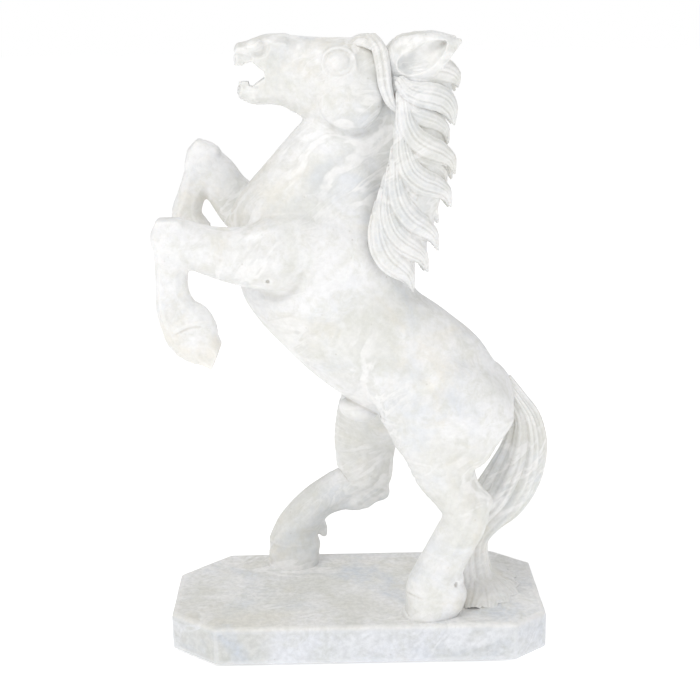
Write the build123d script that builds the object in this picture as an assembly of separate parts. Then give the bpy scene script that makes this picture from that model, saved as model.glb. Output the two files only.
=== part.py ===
"""Rearing horse on a clipped-corner plinth, carved in marble sections that are pinned together.

The horse faces -X and its left (near) side is towards -Y.  +Z is up, and the origin is the
middle of the pad under the plinth.  Everything is in millimetres.

A limb, the barrel, the neck, the head and the tail are each a loft through oval sections.  A
section is given by its two edges in the side view, so the lists below read as outlines:

    (x, z of one edge,  x, z of the other edge,  y of the middle,  half width along Y)
"""
from build123d import *
from scipy.interpolate import PchipInterpolator
import math
import numpy as np
import os

# Driving dimensions of the base
PLINTH_LENGTH = 475.0
PLINTH_DEPTH = 230.0
PLINTH_HEIGHT = 50.0
CORNER_CLIP_X = 56.0
CORNER_CLIP_Y = 50.0
PLINTH_EDGE_RADIUS = 4.0
PAD_THICKNESS = 3.0
PAD_INSET = 10.0
PLINTH_TOP = PAD_THICKNESS + PLINTH_HEIGHT
FOOT_TRIM = PLINTH_TOP - 8     # feet are lofted this low, then trimmed flat to the plinth

# Lateral places of the hooves that stand on the plinth, near side negative
NEAR_HOOF_Y = -78.0
FAR_HOOF_Y = 84.0

# Fixings
PIN_CLEARANCE = 0.5        # resin bed round a pin, each side
PIN_END_GAP = 2.0          # resin past each end of a pin
MOULD_REACH = 900.0        # larger than the whole figure, for half spaces
RIM_POINTS = 12            # points that set the spline round an oval section
LOFT_SPACING = 14.0        # distance between the even sections of a loft

BARREL = [
    (-136, 515, -95, 572, 0, 38),
    (-136, 478, -30, 574, 0, 56),
    (-127, 446, -2, 560, 0, 65),
    (-100, 402, 35, 510, 0, 70),
    (-60, 360, 66, 462, 0, 71),
    (-22, 327, 98, 435, 0, 68),
    (25, 302, 135, 410, 0, 67),
    (70, 285, 168, 381, 0, 66),
    (115, 272, 190, 352, 0, 58),
    (155, 275, 203, 330, 0, 40),
    (180, 290, 200, 314, 0, 17),
]
NECK = [
    (-136, 520, 72, 455, 0, 58),
    (-131, 561, 78, 500, 0, 58),
    (-114, 590, 86, 550, 0, 54),
    (-85, 619, 92, 600, 0, 48),
    (-60, 634, 95, 645, 0, 42),
    (-40, 648, 92, 690, 0, 38),
    (-15, 680, 80, 728, 0, 33),
]
SKULL = [
    (60, 742, 44, 694, 0, 22),
    (35, 761, 24, 665, 0, 32),
    (4, 763, 0, 656, 0, 35),
    (-27, 764, -28, 657, 0, 36),
    (-54, 766, -52, 670, 0, 31),
    (-77, 767, -75, 682, 0, 26),
    (-97, 766, -98, 688, 0, 22),
    (-104, 762, -104, 692, 0, 18),
]
UPPER_MUZZLE = [
    (-92, 766, -94, 721, 0, 22),
    (-110, 763, -112, 727, 0, 21),
    (-126, 758, -126, 731, 0, 19),
    (-138, 753, -139, 734, 0, 13),
]
LOWER_JAW = [
    (-92, 722, -96, 689, 0, 18),
    (-110, 714, -110, 684, 0, 17),
    (-125, 712, -125, 688, 0, 15),
    (-136, 709, -134, 698, 0, 11),
]
NEAR_ARM = [
    (-12, 466, 2, 520, -40, 22),
    (-58, 466, -46, 540, -49, 25),
    (-98, 476, -84, 560, -54, 28),
    (-128, 474, -120, 552, -56, 29),
    (-154, 481, -150, 548, -58, 27),
    (-182, 493, -182, 551, -59, 25),
    (-206, 505, -208, 556, -60, 24),
    (-230, 520, -236, 545, -60, 16),
]
NEAR_CANNON = [
    (-236, 548, -196, 536, -60, 20),
    (-238, 520, -196, 508, -60, 21),
    (-238, 490, -199, 488, -60, 19),
    (-239, 466, -198, 468, -60, 20),
    (-239, 440, -186, 448, -60, 22),
    (-231, 412, -166, 430, -60, 23),
    (-222, 404, -163, 414, -60, 24),
    (-205, 394, -164, 408, -60, 25),
    (-176, 376, -164, 408, -60, 24),
]
FAR_ARM = [
    (-34, 462, -6, 520, 40, 22),
    (-84, 476, -54, 543, 49, 25),
    (-120, 492, -92, 560, 55, 28),
    (-150, 512, -125, 570, 58, 28),
    (-166, 545, -147, 590, 60, 24),
    (-180, 572, -160, 617, 60, 23),
    (-192, 600, -176, 633, 60, 20),
    (-200, 618, -190, 634, 60, 12),
]
FAR_CANNON = [
    (-206, 620, -168, 612, 60, 19),
    (-211, 596, -172, 582, 60, 20),
    (-220, 570, -184, 562, 60, 18),
    (-229, 543, -190, 545, 60, 19),
    (-227, 516, -181, 530, 60, 21),
    (-210, 496, -175, 519, 60, 22),
    (-192, 484, -162, 508, 60, 24),
    (-170, 474, -153, 497, 60, 24),
]
NEAR_HIND = [
    (45, 352, 188, 345, -34, 30),
    (28, 312, 194, 318, -44, 32),
    (34, 283, 188, 287, -50, 31),
    (56, 252, 160, 255, -56, 29),
    (76, 222, 148, 234, -62, 26),
    (96, 200, 158, 212, -66, 25),
    (105, 186, 164, 198, -68, 24),
    (104, 172, 160, 176, -70, 23),
    (92, 148, 147, 152, -73, 23),
    (78, 122, 134, 126, -75, 23),
    (66, 98, 129, 100, -77, 25),
    (60, 78, 132, 82, -78, 26),
    (53, PLINTH_TOP, 138, PLINTH_TOP, NEAR_HOOF_Y, 28),
    (51, FOOT_TRIM, 138, FOOT_TRIM, NEAR_HOOF_Y, 28),
]
FAR_HIND = [
    (20, 350, 150, 345, 34, 30),
    (-10, 310, 120, 300, 46, 31),
    (-26, 272, 68, 262, 58, 29),
    (-28, 240, 55, 238, 66, 27),
    (-26, 212, 52, 208, 70, 25),
    (-25, 188, 47, 172, 73, 23),
    (-34, 182, 36, 150, 75, 23),
    (-52, 172, 4, 141, 77, 23),
    (-78, 155, -28, 124, 79, 23),
    (-100, 132, -42, 104, 81, 24),
    (-114, 106, -48, 90, 83, 25),
    (-119, 80, -50, 76, 84, 26),
    (-121, PLINTH_TOP, -51, PLINTH_TOP, FAR_HOOF_Y, 28),
    (-122, FOOT_TRIM, -51, FOOT_TRIM, FAR_HOOF_Y, 28),
]
TAIL = [
    (198, 346, 184, 318, 0, 12),
    (212, 327, 194, 302, 0, 15),
    (232, 297, 196, 285, 0, 20),
    (244, 268, 190, 264, 0, 25),
    (246, 236, 180, 240, 2, 28),
    (240, 198, 166, 212, 4, 30),
    (220, 162, 146, 184, 6, 31),
    (188, 134, 130, 158, 8, 31),
    (172, 112, 122, 120, 9, 32),
    (176, 84, 120, 84, 9, 37),
    (192, PLINTH_TOP, 118, PLINTH_TOP, 10, 46),
    (198, FOOT_TRIM, 116, FOOT_TRIM, 10, 48),
]
MANE = [
    (52, 744, 88, 736, 0, 22),
    (34, 722, 112, 716, 0, 38),
    (24, 680, 114, 668, 0, 48),
    (18, 634, 112, 610, 0, 54),
    (6, 596, 108, 560, 0, 60),
    (-2, 566, 98, 522, 0, 65),
    (2, 532, 86, 490, 0, 68),
    (24, 500, 70, 470, 0, 64),
]
# Mane's pointed locks: x and z of the tip, width at the root, and length
LOCKS = [
    (125, 706, 24, 48), (121, 663, 36, 70), (123, 603, 40, 70), (117, 564, 36, 70),
    (104, 512, 38, 70), (89, 486, 32, 70), (70, 464, 30, 70),
]
LOCK_SLOPE = 55.0          # degrees below horizontal, of the hair near its tips

# Flat joints between the stone sections: a point, and the normal towards the outer section
FOOT_JOINT = ((0, 0, PLINTH_TOP), (0, 0, -1))
NECK_JOINT = ((-25, 0, 545), (0.33, 0, 0.94))
HEAD_JOINT = ((24, 0, 654), (-0.18, 0, 0.98))
NEAR_ARM_JOINT = ((-152, -58, 514), (-0.97, 0, 0.25))
FAR_ARM_JOINT = ((-150, 60, 566), (-0.66, 0, 0.75))
NEAR_HIND_JOINT = ((112, -62, 228), (0.22, 0, -0.98))
FAR_HIND_JOINT = ((13, 68, 226), (0, 0, -1))

# Stainless pins: middle, direction, length, diameter
PINS = {
    "neck_pin_front": ((-72, 0, 561), (0.33, 0, 0.94), 90, 12),
    "neck_pin_rear": ((26, 0, 527), (0.33, 0, 0.94), 90, 12),
    "head_pin_front": ((-10, 0, 648), (-0.18, 0, 0.98), 80, 12),
    "head_pin_rear": ((54, 0, 659.5), (-0.18, 0, 0.98), 70, 10),
    "near_foreleg_pin": (NEAR_ARM_JOINT[0], NEAR_ARM_JOINT[1], 80, 12),
    "far_foreleg_pin": (FAR_ARM_JOINT[0], FAR_ARM_JOINT[1], 70, 12),
    "near_hind_leg_pin": (NEAR_HIND_JOINT[0], NEAR_HIND_JOINT[1], 90, 16),
    "far_hind_leg_pin": (FAR_HIND_JOINT[0], FAR_HIND_JOINT[1], 90, 16),
    "near_hoof_pin": ((96, -77, PLINTH_TOP), (0, 0, 1), 70, 16),
    "far_hoof_pin": ((-86, 83, PLINTH_TOP), (0, 0, 1), 70, 16),
    "tail_root_pin": ((198, 0, 318), (0.5, 0, -0.87), 44, 8),
    "tail_foot_pin": ((150, 8, PLINTH_TOP), (0, 0, 1), 70, 10),
    "mane_pin_upper": ((90, 0, 640), (1, 0, 0), 36, 8),
    "mane_pin_lower": ((86, 0, 577), (1, 0, 0), 36, 8),
}


def oval(x1, z1, x2, z2, y, half_width):
    """Face of an oval section whose long axis joins two edge points of the side view."""
    reach = math.hypot(x2 - x1, z2 - z1)
    along = ((x2 - x1) / reach, 0, (z2 - z1) / reach)
    normal = (-along[2], 0, along[0])
    plane = Plane(origin=((x1 + x2) / 2, y, (z1 + z2) / 2), x_dir=along, z_dir=normal)
    turns = [math.tau * k / RIM_POINTS for k in range(RIM_POINTS)]
    rim = [(reach / 2 * math.cos(t), half_width * math.sin(t)) for t in turns]
    return plane * make_face(Spline(*rim, periodic=True))


def skin(sections):
    """Smooth solid through a list of oval sections, respaced evenly so that nothing bulges."""
    rows = np.array(sections, float)
    middles = np.column_stack((rows[:, 0] + rows[:, 2], 2 * rows[:, 4], rows[:, 1] + rows[:, 3])) / 2
    steps = np.linalg.norm(np.diff(middles, axis=0), axis=1)
    run = np.concatenate(([0], np.cumsum(steps)))
    count = max(3, round(run[-1] / LOFT_SPACING) + 1)
    even = PchipInterpolator(run, rows)(np.linspace(0, run[-1], count))
    return loft([oval(*row.tolist()) for row in even])


def half_space(joint):
    """Everything on the outer side of a flat joint."""
    point, normal = joint
    slab = Plane(origin=point, z_dir=normal) * Rectangle(MOULD_REACH, MOULD_REACH)
    return extrude(slab, MOULD_REACH)


def ball(x, y, z, rx, ry, rz):
    """Ellipsoid, made by stretching a unit ball along the axes."""
    return Pos(x, y, z) * scale(Sphere(1), by=(rx, ry, rz))


def rod(middle, direction, length, diameter):
    """Cylinder about its middle."""
    return Plane(origin=middle, z_dir=direction) * Cylinder(diameter / 2, length)


def pin_hole(name):
    """Drilling for one pin, with room for its resin bed."""
    middle, direction, length, diameter = PINS[name]
    return rod(middle, direction, length + 2 * PIN_END_GAP, diameter + 2 * PIN_CLEARANCE)


def base_outline(inset):
    """Plan of the plinth: a rectangle with its four corners cut off."""
    x, y = PLINTH_LENGTH / 2 - inset, PLINTH_DEPTH / 2 - inset
    cut_x, cut_y = CORNER_CLIP_X - inset / 2, CORNER_CLIP_Y - inset / 2
    quarter = [(x, y - cut_y), (x - cut_x, y)]
    right = quarter + [(-px, py) for px, py in reversed(quarter)]
    points = right + [(-px, -py) for px, py in right]
    return make_face(Polyline(*points, close=True))


def base_pad():
    """Rubber sheet bonded under the plinth."""
    return extrude(base_outline(PAD_INSET), PAD_THICKNESS)


def plinth():
    """Stone slab with eased edges."""
    slab = extrude(Pos(0, 0, PAD_THICKNESS) * base_outline(0), PLINTH_HEIGHT)
    return fillet(slab.edges(), PLINTH_EDGE_RADIUS)


def ear(side):
    """Pricked ear laid back along the crest, hollowed on its outer face."""
    shell = skin([
        (54, 716, 48, 744, side * 22, 13),
        (72, 715, 62, 752, side * 30, 13),
        (90, 728, 84, 757, side * 34, 11),
        (108, 742, 104, 758, side * 36, 8),
        (119, 752, 118, 758, side * 37, 4),
    ])
    hollow = skin([
        (66, 719, 59, 744, side * 40, 8),
        (76, 722, 70, 748, side * 43, 10),
        (91, 732, 87, 753, side * 44, 8),
        (105, 743, 103, 754, side * 43, 5),
    ])
    return shell - hollow


def forelock():
    """Hair that falls from the poll in front of each ear and down behind the cheek."""
    crown = skin([
        (2, 762, 6, 748, 0, 14),
        (20, 768, 24, 738, 0, 28),
        (40, 764, 40, 730, 0, 30),
        (54, 752, 50, 726, 0, 22),
    ])
    strands = [
        skin([
            (24, 752, 44, 752, side * 22, 10),
            (28, 730, 46, 732, side * 31, 8),
            (32, 706, 48, 708, side * 34, 7),
            (42, 684, 54, 690, side * 36, 5),
        ])
        for side in (-1, 1)
    ]
    return crown + strands


def head_carving():
    """Head with open mouth, cheeks, eyes, nostrils, ears and forelock."""
    head = skin(SKULL) + skin(UPPER_MUZZLE) + skin(LOWER_JAW)
    for side in (-1, 1):
        head += ball(-3, side * 20, 692, 37, 18, 37)
        head += ball(-16, side * 28, 735, 15, 9, 13)
        head += ball(-107, side * 17, 751, 9, 7, 7)
        head -= ball(-108, side * 25, 750, 5, 5, 4)
        head += ear(side)
    return head + forelock()


def hair_lock(tip_x, tip_z, width, length, side):
    """One pointed lock of the mane, running back up the hair from its tip."""
    slope = math.radians(LOCK_SLOPE)
    back = (-math.cos(slope), math.sin(slope))
    across = (math.sin(slope), math.cos(slope))
    sections = []
    for share, half, thick, y in (
        (0, 2.5, 2.5, 18), (0.3, width / 4, 8, 20), (0.65, width / 2.4, 13, 24), (1, width / 2, 16, 26),
    ):
        x = tip_x + back[0] * length * share
        z = tip_z + back[1] * length * share
        sections.append((
            x - across[0] * half, z - across[1] * half,
            x + across[0] * half, z + across[1] * half, side * y, thick,
        ))
    return skin(sections)


def mane_carving():
    """Mane wrapped over the crest, with pointed locks down its back edge."""
    hair = skin(MANE)
    for tip_x, tip_z, width, length in LOCKS:
        for side in (-1, 1):
            hair += hair_lock(tip_x, tip_z, width, length, side)
    return hair


def main_piece(shape):
    """Largest solid of a cut shape, without the slivers that a cut can leave."""
    return shape.solids().sort_by(SortBy.VOLUME)[-1]


def ergot(x, y, z, radius):
    """Round knob behind a fetlock."""
    return ball(x, y, z, radius, radius, radius)


def drilled(solid, *pins):
    """A stone with its pin holes."""
    for name in pins:
        solid -= pin_hole(name)
    return main_piece(solid)


def build():
    """All pieces by node name."""
    near_arm, far_arm = skin(NEAR_ARM), skin(FAR_ARM)
    near_hind, far_hind = skin(NEAR_HIND), skin(FAR_HIND)
    neck_side, head_side = half_space(NECK_JOINT), half_space(HEAD_JOINT)
    below_feet = half_space(FOOT_JOINT)

    torso = skin(BARREL) + skin(NECK)
    figure = torso + (near_arm - half_space(NEAR_ARM_JOINT))
    figure += far_arm - half_space(FAR_ARM_JOINT)
    figure += near_hind - half_space(NEAR_HIND_JOINT)
    figure += far_hind - half_space(FAR_HIND_JOINT)
    figure += ball(-4, 0, 308, 26, 20, 19)

    trunk = figure - neck_side
    neck = (figure & neck_side) - head_side
    carving = head_carving()
    head = (skin(NECK) & head_side) + carving
    mane = mane_carving() - torso - carving
    near_foreleg = (near_arm & half_space(NEAR_ARM_JOINT)) + skin(NEAR_CANNON)
    near_foreleg += ergot(-168, -60, 427, 7)
    far_foreleg = (far_arm & half_space(FAR_ARM_JOINT)) + skin(FAR_CANNON)
    near_hind_leg = (near_hind & half_space(NEAR_HIND_JOINT)) + ergot(122, -79, 101, 9)
    far_hind_leg = (far_hind & half_space(FAR_HIND_JOINT)) + ergot(-50, 84, 97, 8)
    near_hind_leg -= below_feet
    far_hind_leg -= below_feet
    tail = skin(TAIL) - below_feet - trunk - near_hind_leg - far_hind_leg

    nodes = {
        "base_pad": base_pad(),
        "plinth": drilled(plinth(), "near_hoof_pin", "far_hoof_pin", "tail_foot_pin"),
        "trunk": drilled(
            trunk, "neck_pin_front", "neck_pin_rear", "near_foreleg_pin", "far_foreleg_pin",
            "near_hind_leg_pin", "far_hind_leg_pin", "tail_root_pin",
        ),
        "neck": drilled(
            neck, "neck_pin_front", "neck_pin_rear", "head_pin_front", "head_pin_rear",
            "mane_pin_upper", "mane_pin_lower",
        ),
        "head": drilled(head, "head_pin_front", "head_pin_rear"),
        "mane": drilled(mane, "mane_pin_upper", "mane_pin_lower"),
        "near_foreleg": drilled(near_foreleg, "near_foreleg_pin"),
        "far_foreleg": drilled(far_foreleg, "far_foreleg_pin"),
        "near_hind_leg": drilled(near_hind_leg, "near_hind_leg_pin", "near_hoof_pin"),
        "far_hind_leg": drilled(far_hind_leg, "far_hind_leg_pin", "far_hoof_pin"),
        "tail": drilled(tail, "tail_root_pin", "tail_foot_pin"),
    }
    nodes.update({name: rod(*PINS[name]) for name in PINS})
    return nodes


os.makedirs("parts", exist_ok=True)
for node, shape in build().items():
    export_step(shape, f"parts/{node}.step")
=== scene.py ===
"""Looks of the marble rearing horse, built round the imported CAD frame.

The stone is carved as a distance field on a grid, negative inside, and its surface is then
taken off as a mesh.  The carving works in millimetres in the row frame: the horse faces -X, its
near side is towards -Y and +Z is up.  Meshes are in metres.

A limb is a list of oval sections, each given by its two edges in the side view:

    (x, z of one edge,  x, z of the other edge,  y of the middle,  half width along Y)
"""

import math
from functools import reduce

import bmesh
import bpy
import numpy as np
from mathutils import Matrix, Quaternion, Vector


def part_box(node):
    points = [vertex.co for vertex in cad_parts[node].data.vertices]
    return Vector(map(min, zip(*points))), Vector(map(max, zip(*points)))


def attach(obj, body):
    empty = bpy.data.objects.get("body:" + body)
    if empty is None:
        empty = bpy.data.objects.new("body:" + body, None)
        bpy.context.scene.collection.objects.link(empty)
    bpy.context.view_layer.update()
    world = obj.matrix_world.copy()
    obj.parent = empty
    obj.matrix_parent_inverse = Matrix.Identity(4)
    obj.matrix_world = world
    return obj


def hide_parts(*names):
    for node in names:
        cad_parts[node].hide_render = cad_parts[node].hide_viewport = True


MM = 0.001
SIDES = (-1, 1)

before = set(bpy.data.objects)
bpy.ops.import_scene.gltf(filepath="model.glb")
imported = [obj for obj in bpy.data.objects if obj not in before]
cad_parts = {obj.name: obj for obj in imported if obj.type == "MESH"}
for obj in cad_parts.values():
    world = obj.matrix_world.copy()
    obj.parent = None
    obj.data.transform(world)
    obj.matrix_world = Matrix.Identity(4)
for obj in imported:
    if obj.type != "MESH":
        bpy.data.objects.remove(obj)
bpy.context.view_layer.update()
scene = bpy.context.scene

PLINTH_LOW, PLINTH_HIGH = (np.array(corner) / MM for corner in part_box("plinth"))
TOP = float(PLINTH_HIGH[2])

# Grid steps, in mm
COARSER = 1.0
BODY_STEP = 1.5 * COARSER
HEAD_STEP = 1.0 * COARSER
HAIR_STEP = 1.1 * COARSER
PLINTH_STEP = 2.0 * COARSER

# Flat joints between the stones, as in the CAD: a point, the normal to the outer stone, and how
# far round the point the stone is cut
NECK_JOINT = ((-25, 0, 545), (0.33, 0, 0.94), 135)
HEAD_JOINT = ((24, 0, 654), (-0.18, 0, 0.98), 130)
LIMB_JOINTS = {
    "near_foreleg": ((-152, -58, 514), (-0.97, 0, 0.25), 48),
    "far_foreleg": ((-150, 60, 566), (-0.66, 0, 0.75), 42),
    "near_hind_leg": ((112, -62, 228), (0.22, 0, -0.98), 62),
    "far_hind_leg": ((13, 68, 226), (0, 0, -1), 62),
}


# ------ the field

FAR = 60.0                 # value of an empty field
MOST_SIDES = 6             # of a face, apart from the flats of the joints
SECTION_STEP = 6.0         # spacing of the sections that a limb is interpolated to
PATH_STEP = 4.0            # spacing of the points that a line or a lock is interpolated to
LINE_REACH = 2.2           # how far a soft line has an effect, in its widths
SWELL_REACH = 2.3          # the same for a swelling, in its radii


def melt(a, b, blend):
    """Union of two fields, blended over a width."""
    share = np.maximum(blend - np.abs(a - b), 0) / blend
    return np.minimum(a, b) - share * share * blend / 4


def respaced(rows, places, spacing):
    """Rows at an even spacing along the smooth curve through the given ones."""
    rows = np.array(rows, float)
    run = np.concatenate(([0], np.cumsum(np.linalg.norm(np.diff(places, axis=0), axis=1))))
    slope = np.gradient(rows, run, axis=0)
    at = np.linspace(0, run[-1], max(3, int(run[-1] / spacing) + 2))
    i = np.clip(np.searchsorted(run, at, side="right") - 1, 0, len(run) - 2)
    h = (run[i + 1] - run[i])[:, None]
    t = (at - run[i])[:, None] / h
    start = (1 + 2 * t) * (1 - t) ** 2 * rows[i] + t * (1 - t) ** 2 * h * slope[i]
    end = t * t * (3 - 2 * t) * rows[i + 1] + t * t * (t - 1) * h * slope[i + 1]
    return start + end


def dot(place, way):
    """Product of two sets of x, y and z, summed."""
    return place[0] * way[0] + place[1] * way[1] + place[2] * way[2]


def oval(shares, radii):
    """Distance to an oval, from coordinates that are shares of its radii; finite at its centre."""
    k = np.sqrt(sum(s * s for s in shares)) + 1e-4
    steep = np.sqrt(sum((s / r) ** 2 for s, r in zip(shares, radii))) + 1e-6
    return k * (k - 1) / steep


def rounded(gaps, rounding):
    """Distance to a shape with rounded edges, from the distances past its faces."""
    gaps = [gap + rounding for gap in gaps]
    outside = np.sqrt(sum(np.maximum(gap, 0) ** 2 for gap in gaps))
    return outside + np.minimum(reduce(np.maximum, gaps), 0) - rounding


def past_outline(outline, x, z):
    """Distance past the sides of a convex outline, whose corners run anticlockwise."""
    sides = []
    for (ax, az), (bx, bz) in zip(outline, outline[1:] + outline[:1]):
        sides.append(((x - ax) * (bz - az) - (z - az) * (bx - ax)) / math.hypot(bx - ax, bz - az))
    return reduce(np.maximum, sides)


class Stone:
    """A block of stone as a distance field on a grid."""

    def __init__(self, low, high, step):
        self.step = step
        self.axes = [np.arange(a, b + step, step, dtype=np.float32) for a, b in zip(low, high)]
        self.field = np.full([len(a) for a in self.axes], FAR, np.float32)

    def window(self, low, high):
        """Slices of the grid inside a box, and the coordinates there."""
        spans = tuple(slice(*np.searchsorted(axis, ends)) for axis, *ends in zip(self.axes, low, high))
        return spans, *np.ix_(*(axis[span] for axis, span in zip(self.axes, spans)))

    def window_round(self, points, reach):
        """Slices of the grid within reach of points, and an empty field of that shape."""
        spans, x, y, z = self.window(np.min(points, axis=0) - reach, np.max(points, axis=0) + reach)
        return spans, np.full(np.broadcast_shapes(x.shape, y.shape, z.shape), FAR, np.float32)

    def within(self, spans, a, b, reach):
        """The part of a window that is near two points, and its places measured from the first."""
        inner, x, y, z = self.window(np.minimum(a, b) - reach, np.maximum(a, b) + reach)
        part = tuple(slice(i.start - s.start, i.stop - s.start) for i, s in zip(inner, spans))
        return part, (x - a[0], y - a[1], z - a[2])

    def limb(self, sections, blend=6.0, caps=(8.0, 8.0), grooves=(), flats=()):
        """Adds a limb.

        caps are the lengths of its rounded ends, flats are planes that cut it, and a groove is
        its number round the limb, its depth, its twist and its waver.
        """
        rows = np.array(sections, float)
        rows = respaced(rows, (rows[:, :2] + rows[:, 2:4]) / 2, SECTION_STEP)
        middle = (rows[:, :2] + rows[:, 2:4]) / 2
        half = np.maximum(np.hypot(*(rows[:, 2:4] - rows[:, :2]).T) / 2, 1)
        y0, wide = rows[:, 4], np.maximum(rows[:, 5], 1)
        centre = np.column_stack((middle[:, 0], y0, middle[:, 1]))
        size = np.column_stack((half, wide, half)) + blend + 2 * self.step + 2
        spans, x, y, z = self.window((centre - size).min(axis=0), (centre + size).max(axis=0))
        px, pz = x[:, 0], z[0]
        best = np.full((px.size, pz.size), np.inf)
        place, across = np.zeros_like(best), np.zeros_like(best)
        last = len(rows) - 2
        for i in range(last + 1):
            (ax, az), (dx, dz) = middle[i], middle[i + 1] - middle[i]
            length = math.hypot(dx, dz)
            along = ((px - ax) * dx + (pz - az) * dz) / length
            held = np.clip(along, 0, length)
            over = along - held
            if i == 0:
                over = np.where(over < 0, over * half[0] / caps[0], over)
            if i == last:
                over = np.where(over > 0, over * half[-1] / caps[1], over)
            side = ((px - ax) * dz - (pz - az) * dx) / length
            distance = side * side + over * over
            nearer = distance < best
            for kept, new in ((best, distance), (place, i + held / length), (across, side)):
                np.copyto(kept, new, where=nearer)
        count = np.arange(len(rows))
        h, w, y0 = (np.interp(place, count, v)[:, None].astype(np.float32) for v in (half, wide, y0))
        v = (y - y0) / w
        d = oval((np.sqrt(best)[:, None].astype(np.float32) / h, v), (h, w))
        for number, depth, twist, waver in grooves:
            turn = np.arctan2(v, across[:, None].astype(np.float32) / h)
            run = place[:, None].astype(np.float32) / len(rows)
            phase = number * turn + twist * run + waver * np.sin(9 * run + 2 * turn)
            d += depth * (0.5 - 0.5 * np.cos(phase)) ** 2
        for flat in flats:
            d = np.maximum(d, dot((x, y, z), flat[1]) - dot(*flat))
        self.merge(spans, d, blend)

    def oval_at(self, centre, size, tilt, reach):
        """Window round a tilted oval, with its coordinates as shares of the oval's radii."""
        longest = max(size[0], size[2])
        bound = reach * np.array((longest, size[1], longest))
        spans, x, y, z = self.window(centre - bound, centre + bound)
        x, y, z = x - centre[0], y - centre[1], z - centre[2]
        c, s = math.cos(math.radians(tilt)), math.sin(math.radians(tilt))
        return spans, (x * c + z * s) / size[0], y / size[1], (z * c - x * s) / size[2]

    def swell(self, centre, size, height, tilt=0):
        """Raises the surface over an oval patch, or sinks it if the height is negative."""
        spans, u, v, w = self.oval_at(centre, size, tilt, SWELL_REACH)
        self.field[spans] -= height * np.exp(-(u * u + v * v + w * w))

    def ball(self, centre, size, blend=3.0, tilt=0, cut=False):
        """Adds a tilted oval ball, or cuts it away."""
        reach = 1 + (blend + 2 * self.step + 1) / min(size)
        spans, *shares = self.oval_at(centre, size, tilt, reach)
        self.merge(spans, oval(shares, size), blend, cut)

    def block(self, centre, size, rounding, blend=2.0, tilt=0):
        """Adds a tilted box with rounded edges; size holds its half lengths."""
        reach = max(size) * 1.5 + blend + 2 * self.step
        spans, *places = self.oval_at(centre, (1, 1, 1), tilt, reach)
        self.merge(spans, rounded([np.abs(p) - half for p, half in zip(places, size)], rounding), blend)

    def wedge(self, outline, half_width, blend):
        """Cuts away a convex outline, given anticlockwise as the near side shows it."""
        low, high = np.min(outline, axis=0) - 3, np.max(outline, axis=0) + 3
        spans, x, y, z = self.window((low[0], -half_width, low[1]), (high[0], half_width, high[1]))
        self.merge(spans, np.maximum(np.abs(y) - half_width, past_outline(outline, x, z)), blend, True)

    def merge(self, spans, shape, blend, cut=False):
        """Adds a shape to a window of the field, or cuts it away."""
        sign = -1 if cut else 1
        self.field[spans] = sign * melt(sign * self.field[spans], shape, blend)

    def line(self, points, width, height, ends=0.15):
        """Raises a soft ridge along a line, or sinks a crease; it fades out at both ends."""
        points = respaced(points, points, PATH_STEP)
        reach = width * LINE_REACH
        spans, best = self.window_round(points, reach)
        best[:] = reach * reach
        place = np.zeros_like(best)
        for i, (a, b) in enumerate(zip(points[:-1], points[1:])):
            part, local = self.within(spans, a, b, reach)
            way = b - a
            t = np.clip(dot(local, way) / (way @ way), 0, 1)
            gap = sum((p - t * w) ** 2 for p, w in zip(local, way))
            nearer = gap < best[part]
            np.copyto(place[part], i + t, where=nearer)
            np.copyto(best[part], gap, where=nearer)
        place /= len(points) - 1
        fade = np.clip(np.minimum(place, 1 - place) / ends, 0, 1) if ends else 1.0
        self.field[spans] -= height * fade * np.exp(-best / width ** 2)

    def lock(self, points, halves, thick, out, strands=5, depth=0.9, blend=0.6):
        """Adds a lock of hair: a flat tapered bar along a line, grooved into strands.

        halves are its half widths at even places, thick its half thickness at the middle, and
        out the direction that its face looks.
        """
        points = respaced(points, points, PATH_STEP)
        even = np.linspace(0, 1, len(points))
        half = np.interp(even, np.linspace(0, 1, len(halves)), halves)
        thin = thick * np.interp(even, (0, 0.15, 0.7, 1), (0.75, 1, 0.9, 0.3))
        margin = blend + 2 * self.step + 1
        spans, best = self.window_round(points, half.max() + margin)
        for i, (a, b) in enumerate(zip(points[:-1], points[1:])):
            part, local = self.within(spans, a, b, max(half[i], half[i + 1]) + margin)
            length = np.linalg.norm(b - a)
            way = (b - a) / length
            face = out - way * np.dot(out, way)
            face /= np.linalg.norm(face)
            along = dot(local, way)
            t = np.clip(along / length, 0, 1)
            h = half[i] + t * (half[i + 1] - half[i])
            w = thin[i] + t * (thin[i + 1] - thin[i])
            u = dot(local, np.cross(way, face)) / h
            distance = oval((u, dot(local, face) / w, (along - t * length) / w), (h, w, w))
            turn = math.tau * strands * (u + 1) / 2
            uneven = 0.6 + 0.4 * np.sin(0.43 * turn + 2)
            distance += depth * uneven * (0.5 - 0.5 * np.cos(turn)) ** 2
            best[part] = np.minimum(best[part], distance)
        self.merge(spans, best, blend)

    def drape(self, side, places):
        """Points of the surface seen from one side, over places given as x and z."""
        points = []
        for x, z in places:
            i, k = (min(np.searchsorted(axis, at), len(axis) - 1)
                    for axis, at in zip(self.axes[::2], (x, z)))
            inside = self.axes[1][self.field[i, :, k] < 0]
            if len(inside):
                points.append((x, float(inside[0 if side < 0 else -1]), z))
        return points

    def crease(self, side, places, width, height, ends=0.15):
        """Raises or sinks a line laid on the surface of one side."""
        points = self.drape(side, places)
        if len(points) > 2:
            self.line(points, width, height, ends)

    def muscle(self, side, place, size, height, tilt=0):
        """Raises or sinks an oval patch of one side; size is its length and its height."""
        for centre in self.drape(side, [place]):
            self.swell(centre, (size[0], min(size), size[1]), height, tilt)

    def pit(self, place, size):
        """A small hole in the near side."""
        for centre in self.drape(-1, [place]):
            self.ball(centre, size, 1, cut=True)

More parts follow.
